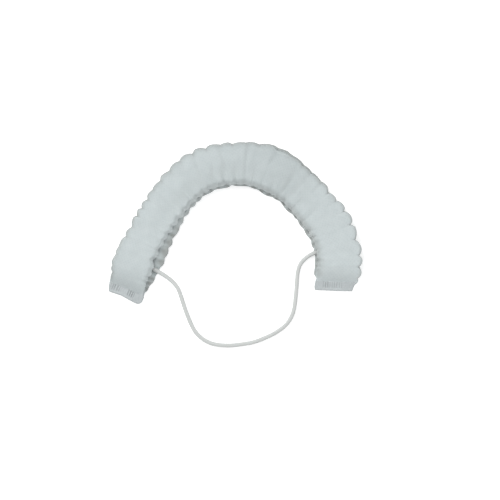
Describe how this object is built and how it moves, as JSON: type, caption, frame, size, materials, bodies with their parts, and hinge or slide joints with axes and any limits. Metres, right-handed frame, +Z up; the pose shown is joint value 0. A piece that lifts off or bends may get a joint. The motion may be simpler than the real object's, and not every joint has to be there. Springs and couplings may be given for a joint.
{
  "type": "disposable beard net",
  "caption": "Disposable beard cover lying flat: pleated white non-woven gathered into an arched strip, open along its concave side, with fused ribbed ends and a round elastic head loop.",
  "frame": {"origin": "middle of the cover's footprint, without the elastic, on the surface it lies on", "axes": "+X across the arch from the left arm to the right arm, +Y from the arms' ends to the top of the arch, +Z up"},
  "size_m": [0.1914, 0.1546, 0.0124],
  "materials": {
    "nonwoven": "matte spunbond non-woven with fine bond points, cool white",
    "fused_nonwoven": "heat-fused non-woven, satin, ribbed by the welding tool",
    "elastic": "matte knitted round elastic, neutral white"
  },
  "bodies": {
    "root": {"pleated_web": "nonwoven", "end_weld_left": "fused_nonwoven", "end_weld_right": "fused_nonwoven", "head_elastic": "elastic"}
  },
  "joints": []
}
